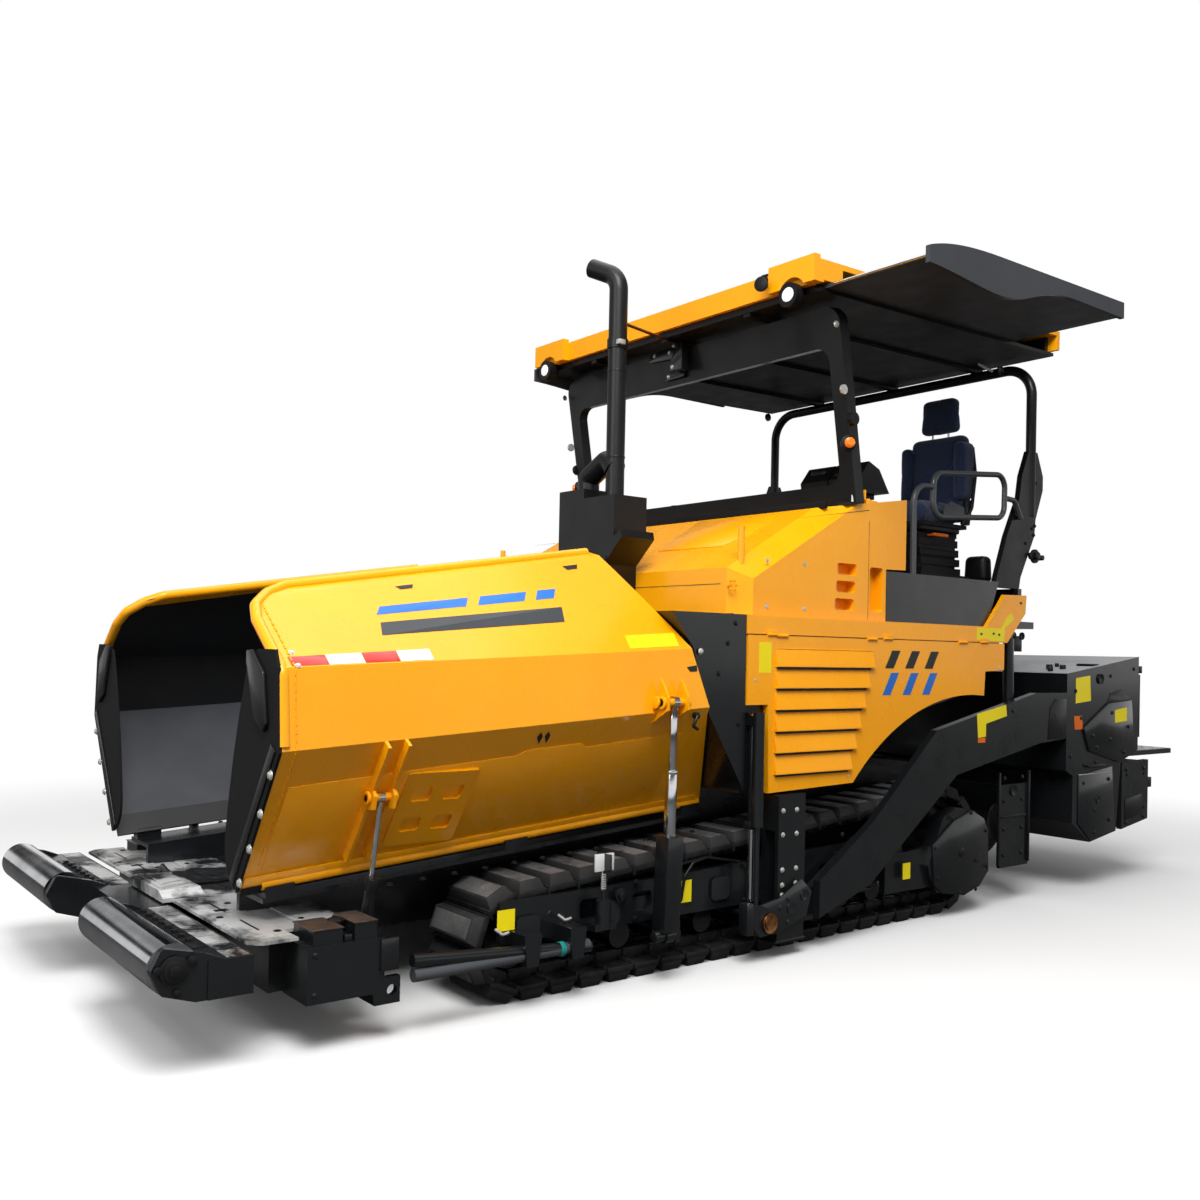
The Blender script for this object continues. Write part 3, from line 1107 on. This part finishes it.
def build_body():
    """Door stripes and hinges, labels, band slots, hood seams and bolts, and the portal's feet."""
    pair("dark_bars", "ink",
         *[side_plate(patch(y, 1.485, 0.075, 0.1, 0.06), BODY_SIDE, FILM) for y in DOOR_STRIPES],
         body="side_door_SIDE")
    pair("blue_bars", "blue",
         *[side_plate(patch(y - 0.02, 1.335, 0.07, 0.125, 0.075), BODY_SIDE, FILM) for y in DOOR_STRIPES],
         body="side_door_SIDE")
    pair("door_labels", "label", side_plate(patch(-0.585, 1.455, 0.088, 0.155), BODY_SIDE, FILM),
         body="side_door_SIDE")
    pair("door_hinges", "yellow",
         *[row for y in (-0.49, 0.44, 1.37)
           for row in ((rod, (1.2225, y - 0.038, 1.65), (1.2225, y + 0.038, 1.65), 0.0085, 16),
                       (cuboid, (1.2195, y - 0.038, 1.652), (1.2245, y + 0.038, 1.676)))], bevel=0.001)
    pair("door_screws", "zinc",
         side_bolts(BODY_SIDE, ((-0.61, 0.9), (-0.61, 1.25), (0.12, 0.9), (1.54, 1.5), (-0.61, 1.42)),
                    0.006, 0.003), body="side_door_SIDE")
    pair("band_labels", "label",
         side_plate([(1.294, 1.664), (1.585, 1.657), (1.592, 1.74), (1.294, 1.738)], BODY_SIDE, FILM),
         side_plate([(1.592, 1.74), (1.56, 1.74), (1.6, 1.8), (1.66, 1.838), (1.69, 1.8)], BODY_SIDE, FILM))
    oval = [(0.012 * math.cos(t), 0.008 * math.sin(t)) for t in [i * math.pi / 6 for i in range(12)]]
    pair("band_slots", "ink",
         *[side_plate([(y + dy, z + dz) for dy, dz in oval], BODY_SIDE + 0.001, 0.0006)
           for y, z in ((1.34, 1.7), (1.47, 1.705), (1.53, 1.7), (1.765, 1.905))])
    pair("hood_bolts", "zinc",
         (bolts, [(1.1902, y, z) for y in (-0.505, -0.225) for z in (2.028, 1.792)], OUT, 0.009, 0.004))
    pair("hood_seams", "ink",
         side_plate([(-0.3, 2.262), (-0.296, 2.262), (0.296, 2.356), (0.296, 2.36)], 1.1898, 0.001),
         (cuboid, (1.1895, 0.298, 1.75), (1.1906, 0.301, 2.3)))
    studs = [(1.139 + 0.026 * math.cos(t), 1.895 + 0.026 * math.sin(t))
             for t in [i * math.pi / 3 for i in range(6)]]
    pair("hood_mark", "yellow", *[(rod, (x, -0.7003, z), (x, -0.7055, z), 0.0095, 16) for x, z in studs],
         bevel=0.001)
    single("sill_seal", "flap", (cuboid, (-1.15, -0.028, 2.345), (1.15, -0.004, 2.385)), bevel=0.003)
    pair("portal_foot", "yellow", (cuboid, (1.135, 0.262, 2.388), (1.185, 0.375, 2.416)),
         (cuboid, (1.135, 0.262, 2.388), (1.185, 0.275, 2.47)),
         *boss((1.16, 0.32, 2.416), UP, (0.014, 0.01)), bevel=0.003)
    pair("portal_pin", "pale_rod", (rod, (1.196, 0.145, 2.39), (1.196, 0.145, 2.475), 0.007, 16))
    single("hood_panel", "yellow", (hood_panel,), bevel=0.002)
    single("fascia_seam", "ink", (cuboid, (-1.05, -0.7012, 1.902), (1.05, -0.7, 1.905)),
           (cuboid, (-1.15, -0.7012, 1.748), (1.15, -0.7, 1.752)))


LOUVRE_TOP, LOUVRE_PITCH, LOUVRE_DROP = 1.579, 0.11, 0.092


def build_louvres():
    """Darkness behind the door's louvres, and a bead along each blade's root."""
    rows = [(LOUVRE_TOP - i * LOUVRE_PITCH, 0.312 - 0.036 * i) for i in range(6)]
    pair("louvre_roots", "yellow",
         *[(rod, (1.2205, -0.465, z + 0.001), (1.2205, rear, z + 0.001), 0.0035, 8) for z, rear in rows],
         body="side_door_SIDE")
    pair("louvre_shade", "ink",
         *[(cuboid, (1.212, -0.452, z - LOUVRE_DROP - 0.013),
            (1.2135, rear - 0.014, z - LOUVRE_DROP + 0.01)) for z, rear in rows], body="side_door_SIDE")


def hood_slope(y):
    """Height of the hood's front slope."""
    return 1.985 + (y + 0.7) * 0.5625


def hood_panel(bm):
    """Pressed lid on the hood's front slope."""
    corners = ((0.27, -0.45), (0.8, -0.45), (0.9, -0.32), (0.9, -0.08), (0.22, -0.08))
    plate(bm, [(x, y, hood_slope(y) - 0.001) for x, y in corners], (0, -0.003, 0.0055))


def build_canopy():
    """Lamps, beacons, horn, portal bracket, exhaust stay, awning rail, hooks and rope."""
    for name, sign in SIDES:
        x = sign * 1.107
        bm = bmesh.new()
        place = Matrix.Translation((x, -0.292, 3.45)) @ Matrix.Diagonal((1.0, 0.34, 0.92, 1.0))
        bmesh.ops.create_uvsphere(bm, u_segments=32, v_segments=16, radius=0.056, matrix=place)
        finish(bm, "lamp_lens_" + name, "lens")
        single("lamp_bezel_" + name, "plastic", (rod, (x, -0.286, 3.45), (x, -0.256, 3.45), 0.064, 40),
               bevel=0.004)
    pair("beacon", "amber", *boss((1.2195, 0.078, 2.7), (0.85, -0.5, 0), (0.028, 0.024), (0.022, 0.006)),
         bevel=0.004)
    pair("beacon_seat", "plastic", *boss((1.204, 0.086, 2.7), (0.85, -0.5, 0), (0.043, 0.02)), bevel=0.004)
    single("horn", "plastic",
           *boss((0.92, -0.275, 3.548), (0.25, -1, -0.1), (0.016, 0.03), (0.034, 0.018), (0.04, 0.012)),
           *boss((0.91, -0.262, 3.575), (0, -0.4, 1), (0.012, 0.025), (0.02, 0.014)), bevel=0.003)
    single("beam_bracket", "charcoal",
           cross_plate(-0.046, ((-0.05, 3.3), (0.055, 3.29), (0.055, 3.462), (0.01, 3.468), (-0.05, 3.36)),
                       (0, -0.055, -0.009)),
           cross_plate(-0.026, ((-0.32, 3.4), (-0.05, 3.38), (-0.05, 3.462), (-0.3, 3.455)),
                       (0, -0.022, -0.004)),
           cross_plate(-0.01, ((-0.18, 3.262), (0.0, 3.262), (0.0, 3.3), (-0.12, 3.315)),
                       (0, -0.022, -0.004)), bevel=0.003)
    single("bracket_bolts", "zinc",
           (bolts, [(-0.26, -0.048, 3.43), (-0.12, -0.048, 3.425), (-0.02, -0.101, 3.44),
                    (-0.14, -0.033, 3.28), (-0.03, -0.101, 3.31)], FORWARD, 0.009, 0.006))
    tube("exhaust_stay", "bronze_rod", [(0.262, -0.77, 3.4), (-0.03, -0.15, 3.47)], 0.009)
    tube("stay_end", "pale", [(-0.03, -0.12, 3.47), (0.0, -0.12, 3.53), (0.055, -0.13, 3.55)], 0.008)
    pair("portal_bolts", "zinc", (bolts, [(1.2202, -0.045, 3.32)], (1, -0.1, 0), 0.014, 0.008),
         *boss((1.219, 0.02, 2.98), OUT, (0.026, 0.012)))
    tube("awning_rail", "chrome", [(1.3, -0.157, 3.4945), (1.922, -0.157, 3.4945)], 0.007,
         body="awning_left")
    single("awning_shoe", "black", (cuboid, (1.895, -0.175, 3.47), (1.926, -0.15, 3.52)),
           body="awning_left", bevel=0.003)
    pair("roof_hooks", "black", (ring, (1.02, 0.12, 3.4), 0.03, 0.018, 0.012),
         (ring, (1.02, 1.8, 3.42), 0.03, 0.018, 0.012), bevel=0.002)
    single("roof_rope", "pale", (rod, (0.98, 1.62, 3.44), (1.02, 1.72, 3.4), 0.008, 12))


def build_station():
    """Seat sides, belt, folds of the bellows, lever, box, console heads and rear plate hubs."""
    for side, sign in SIDES:
        x = sign * 0.75
        for i in range(6):
            z = 2.035 + 0.058 * i
            half = 0.175 + (0.012 if i % 2 else 0.0)
            bm = soft_block((x - half, 1.11 + (0.0 if i % 2 else 0.008), z), (x + half, 1.445, z + 0.05),
                            0.022)
            finish(bm, "bellows_" + side + "_" + str(i), "bellows")
        bm = soft_block((x - 0.2, 1.09, 2.335), (x + 0.2, 1.5, 2.388), 0.012)
        finish(bm, "seat_pan_" + side, "plastic")
    single("seat_lever", "orange", (cuboid, (0.965, 1.185, 2.3), (0.985, 1.33, 2.322)),
           (rod, (0.92, 1.2, 2.31), (0.975, 1.2, 2.31), 0.008, 12), bevel=0.006)
    single("seat_side", "grey_fabric",
           side_plate([(1.25, 2.42), (1.47, 2.42), (1.47, 2.5), (1.33, 2.53), (1.26, 2.48)], 0.994, 0.006),
           bevel=0.002)
    tube("seat_belt", "plastic",
         [(0.985, 1.47, 2.39), (1.012, 1.53, 2.5), (1.005, 1.575, 2.72), (0.965, 1.6, 2.9)], 0.011, 0.06)
    tube("belt_reel", "plastic", [(0.975, 1.515, 2.4), (0.975, 1.545, 2.55)], 0.03, 0.02)
    bm = soft_block((0.9, 1.6, 2.034), (1.07, 1.7, 2.205), 0.035, 0.01)
    finish(bm, "step_box", "plastic")
    for name, low, high in (("near", (0.52, 0.74, 2.575), (0.775, 0.98, 2.7)),
                            ("far", (0.31, 0.76, 2.575), (0.5, 0.98, 2.735))):
        finish(soft_block(low, high, 0.03, 0.03), "console_head_" + name, "plastic")
    pair("rear_hubs", "black", *boss((1.1495, 1.975, 2.222), OUT, (0.022, 0.02)),
         *boss((1.1495, 2.02, 2.222), OUT, (0.045, 0.016), (0.026, 0.02)),
         *boss((1.1495, 2.085, 2.215), OUT, (0.017, 0.03)),
         side_bolts(1.1495, ((2.02, 2.36), (2.0, 2.4), (2.03, 2.42), (2.04, 2.7), (1.93, 2.3)), 0.009,
                    0.006), bevel=0.002)
    pair("rear_clamps", "black", (ring, (1.152, 1.79, 1.7), 0.024, 0.01, 0.014),
         (ring, (1.152, 1.885, 1.7), 0.024, 0.01, 0.014), (cuboid, (1.14, 1.79, 1.6), (1.16, 1.885, 1.7)),
         bevel=0.002)


def build_exhaust():
    """Bolts, lap seams and top clamp of the exhaust."""
    single("exhaust_trim", "black",
           (bolts, [(0.05, -0.931, 1.8), (0.4, -0.931, 1.8), (0.05, -0.931, 2.05), (0.4, -0.931, 2.05)],
            FORWARD, 0.012, 0.008), (rod, (0.3, -0.8, 3.1), (0.3, -0.8, 3.106), 0.0545, 40),
           (rod, (0.3, -0.8, 2.62), (0.3, -0.8, 2.63), 0.0545, 40), bevel=0.0015)
    single("exhaust_clamp", "zinc", (rod, (0.3, -0.8, 3.244), (0.3, -0.8, 3.266), 0.0575, 40),
           (cuboid, (0.34, -0.845, 3.242), (0.37, -0.8, 3.268)), bevel=0.0015)


# Outer faces of the screed box, of the tow arm and of the arm under its film
SCREED_SIDE_X, ARM_SIDE_X, ARM_FACE_X = 1.2705, 1.2702, 1.2695


def build_screed():
    """Side plates, seams, latches, labels, tread and tow-arm films."""
    pair("screed_hex", "charcoal",
         side_plate([(2.438, 1.104), (2.758, 1.266), (3.072, 1.283), (3.125, 0.918), (2.919, 0.857),
                     (2.519, 0.948)], ARM_FACE_X, 0.015), body="screed", bevel=0.004)
    pair("screed_low", "charcoal",
         side_plate([(2.397, 0.794), (2.825, 0.834), (2.879, 0.399), (2.56, 0.345), (2.397, 0.47)],
                    ARM_FACE_X, 0.009), body="screed", bevel=0.003)
    pair("screed_bolts", "black",
         side_bolts(SCREED_SIDE_X + 0.014,
                    ((2.55, 1.05), (2.6, 0.97), (2.97, 0.925), (3.03, 1.1), (2.8, 1.2), (2.78, 1.02)),
                    0.011, 0.007), side_bolts(SCREED_SIDE_X + 0.008,
                                              ((2.45, 0.74), (2.6, 0.55), (2.78, 0.75), (2.8, 0.47),
                                               (2.6, 0.4)), 0.011, 0.007),
         side_bolts(SCREED_SIDE_X,
                    ((2.35, 1.35), (2.3, 0.92), (2.42, 1.17), (2.47, 0.86), (2.62, 0.87), (3.12, 1.5),
                     (2.8, 1.45)), 0.01, 0.007), (ring, (SCREED_SIDE_X, 2.66, 1.43), 0.034, 0.018, 0.012),
         (ring, (SCREED_SIDE_X + 0.008, 2.64, 0.62), 0.026, 0.012, 0.006), body="screed", bevel=0.0015)
    pair("screed_latches", "black", (cuboid, (1.22, 3.19, 1.47), (1.272, 3.235, 1.52)),
         (cuboid, (1.2, 3.19, 1.02), (1.262, 3.23, 1.46)),
         side_plate([(2.72, 1.225), (2.8, 1.33), (2.95, 1.36), (3.05, 1.3), (3.06, 1.285), (2.76, 1.268)],
                    ARM_SIDE_X, 0.004), (cuboid, (1.258, 2.5, 0.838), (1.292, 2.72, 0.856)), body="screed",
         bevel=0.004)
    pair("screed_edges", "grey", (cuboid, (1.262, 2.4, 0.792), (1.281, 2.82, 0.7985)),
         (plate, [(1.262, 2.2445, 1.4632), (1.2715, 2.2445, 1.4632), (1.2715, 3.19, 1.5832),
                  (1.262, 3.19, 1.5832)], (0, 0, 0.003)), body="screed", bevel=0.001)
    single("screed_top", "grey",
           (plate, [(-1.262, 2.248, 1.4636), (1.262, 2.248, 1.4636), (1.262, 3.188, 1.5828),
                    (-1.262, 3.188, 1.5828)], (0, 0, 0.0025)), body="screed", bevel=0.001)
    pair("screed_knobs", "black", *boss((1.1, 2.33, 1.474), UP, (0.018, 0.03)),
         *boss((1.04, 2.42, 1.486), UP, (0.022, 0.035)), *boss((1.12, 2.45, 1.49), UP, (0.02, 0.03)),
         *boss((1.02, 2.55, 1.5), UP, (0.014, 0.03)), (cuboid, (1.12, 2.62, 1.508), (1.24, 2.7, 1.53)),
         body="screed", bevel=0.004)
    pair("screed_labels", "label",
         side_plate([(2.352, 1.268), (2.545, 1.283), (2.53, 1.452), (2.352, 1.435)], SCREED_SIDE_X, FILM),
         side_plate([(2.842, 1.13), (3.003, 1.14), (3.0, 1.234), (2.84, 1.216)], 1.2846, FILM),
         side_plate([(1.236, 1.218), (1.541, 1.27), (1.552, 1.2), (1.331, 1.158), (1.331, 1.08),
                     (1.25, 1.075)], ARM_SIDE_X, FILM), body="screed")
    pair("screed_films", "orange", side_plate(patch(2.345, 1.095, 0.1, 0.09, -0.01), SCREED_SIDE_X, FILM),
         side_plate(patch(1.25, 1.045, 0.075, 0.028), ARM_SIDE_X, FILM), body="screed")
    pair("arm_bolts", "black",
         side_bolts(ARM_SIDE_X, ((2.1, 1.2), (2.18, 1.1), (1.62, 1.23), (0.02, 0.6)), 0.01, 0.006),
         side_plate([(2.02, 1.04), (2.235, 1.04), (2.235, 1.3), (2.1, 1.3), (2.04, 1.24)], ARM_FACE_X,
                    0.0045), body="screed", bevel=0.001)
    pair("tow_end", "charcoal",
         side_plate([(-0.59, 0.17), (-0.5, 0.14), (-0.26, 0.205), (-0.22, 0.33), (-0.3, 0.4), (-0.46, 0.32),
                     (-0.59, 0.3)], ARM_FACE_X, 0.007),
         side_bolts(1.276, ((-0.4, 0.31), (-0.46, 0.27), (-0.4, 0.19)), 0.011, 0.006),
         (ring, (1.2755, -0.37, 0.26), 0.034, 0.018, 0.006),
         (ring, (1.2755, -0.275, 0.315), 0.03, 0.02, 0.005), body="screed", bevel=0.002)
    single("walkway_tread", "grey", (tread,), body="screed")
    pair("extension_trim", "black",
         side_plate([(3.02, 0.45), (3.02, 0.6), (3.25, 0.62), (3.25, 0.48)], ARM_SIDE_X, 0.004),
         (cuboid, (1.235, 3.33, 0.66), (1.268, 3.4, 0.73)),
         (cuboid, (1.21, 3.335, 0.6), (1.25, 3.365, 0.83)),
         side_bolts(ARM_SIDE_X, ((3.04, 0.8), (3.28, 0.8), (3.04, 0.43), (3.28, 0.46)), 0.012, 0.008),
         body="extension_SIDE", bevel=0.003)


def tread(bm):
    """Raised bars of the walkway's tread plate."""
    cuboid(bm, (-1.19, 3.2, 0.9145), (1.19, 3.825, 0.9165))
    for row in range(9):
        for column in range(34):
            x, y = -1.16 + column * 0.07 + (0.035 if row % 2 else 0.0), 3.23 + row * 0.068
            if x < 1.16:
                cuboid(bm, (x - 0.016, y - 0.004, 0.916), (x + 0.016, y + 0.004, 0.9185),
                       Matrix.Rotation(0.7 if (row + column) % 2 else -0.7, 4, "Z"))


def build_bulkhead():
    """Bolts of the plates between hopper and body."""
    pair("bulkhead_bolts", "black",
         side_bolts(1.2152, ((-0.8, 1.6), (-0.86, 1.45), (-0.72, 1.2), (-0.75, 1.7)), 0.01, 0.006),
         bevel=0.001)


# Operators and panel

class PAVER_OT_hopper(bpy.types.Operator):
    """Liners, rims, flaps, laps and reflectors of the hopper wings"""
    bl_idname = "paver.hopper"
    bl_label = "Hopper"

    def execute(self, context):
        build_hopper()
        build_wing_details()
        return {"FINISHED"}


class PAVER_OT_tracks(bpy.types.Operator):
    """Shoes, pads and links of the tracks"""
    bl_idname = "paver.tracks"
    bl_label = "Tracks"

    def execute(self, context):
        build_tracks()
        return {"FINISHED"}


class PAVER_OT_seats(bpy.types.Operator):
    """Upholstered seats"""
    bl_idname = "paver.seats"
    bl_label = "Seats"

    def execute(self, context):
        build_seats()
        return {"FINISHED"}


class PAVER_OT_front(bpy.types.Operator):
    """Roller caps, beam bolts, deck plates and corner boxes"""
    bl_idname = "paver.front"
    bl_label = "Front end"

    def execute(self, context):
        build_front()
        return {"FINISHED"}


class PAVER_OT_cylinders(bpy.types.Operator):
    """Sleeves, stages, caps and bushes of the cylinders"""
    bl_idname = "paver.cylinders"
    bl_label = "Cylinders"

    def execute(self, context):
        build_cylinders()
        return {"FINISHED"}


class PAVER_OT_running_gear(bpy.types.Operator):
    """Bolts, windows, labels and hoses of the track frames"""
    bl_idname = "paver.running_gear"
    bl_label = "Running gear"

    def execute(self, context):
        build_running_gear()
        return {"FINISHED"}


class PAVER_OT_body(bpy.types.Operator):
    """Door bars, hinges, seams and bolts of the body"""
    bl_idname = "paver.body"
    bl_label = "Body"

    def execute(self, context):
        build_body()
        build_louvres()
        build_bulkhead()
        build_exhaust()
        return {"FINISHED"}


class PAVER_OT_canopy(bpy.types.Operator):
    """Lamps, horn, brackets and rails of the canopy"""
    bl_idname = "paver.canopy"
    bl_label = "Canopy"

    def execute(self, context):
        build_canopy()
        return {"FINISHED"}


class PAVER_OT_station(bpy.types.Operator):
    """Bellows, belt, console heads and rear hubs"""
    bl_idname = "paver.station"
    bl_label = "Operator's station"

    def execute(self, context):
        build_station()
        return {"FINISHED"}


class PAVER_OT_screed(bpy.types.Operator):
    """Plates, bolts, latches and tread of the screed"""
    bl_idname = "paver.screed"
    bl_label = "Screed"

    def execute(self, context):
        build_screed()
        return {"FINISHED"}


class PAVER_PT_panel(bpy.types.Panel):
    """The paver's settings and the operators that build it"""
    bl_label = "Paver"
    bl_idname = "PAVER_PT_panel"
    bl_space_type = "VIEW_3D"
    bl_region_type = "UI"
    bl_category = "Paver"

    def draw(self, context):
        for group in (context.scene.paver_paint, context.scene.paver_sizes):
            for name in group.__annotations__:
                self.layout.prop(group, name)
        for operator in OPERATORS:
            self.layout.operator(operator.bl_idname)


OPERATORS = (PAVER_OT_stage, PAVER_OT_finishes, PAVER_OT_hopper, PAVER_OT_tracks, PAVER_OT_seats,
             PAVER_OT_front, PAVER_OT_cylinders, PAVER_OT_running_gear, PAVER_OT_body, PAVER_OT_canopy,
             PAVER_OT_station, PAVER_OT_screed)
CLASSES = (PaverPaint, PaverSizes) + OPERATORS + (PAVER_PT_panel,)


def register():
    """Add the classes and the scene's settings."""
    for item in CLASSES:
        bpy.utils.register_class(item)
    bpy.types.Scene.paver_paint = bpy.props.PointerProperty(type=PaverPaint)
    bpy.types.Scene.paver_sizes = bpy.props.PointerProperty(type=PaverSizes)


def unregister():
    """Take them away again."""
    del bpy.types.Scene.paver_sizes
    del bpy.types.Scene.paver_paint
    for item in reversed(CLASSES):
        bpy.utils.unregister_class(item)


def main():
    """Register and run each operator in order."""
    register()
    for operator in OPERATORS:
        group, name = operator.bl_idname.split(".")
        getattr(getattr(bpy.ops, group), name)()


if __name__ == "__main__":
    main()
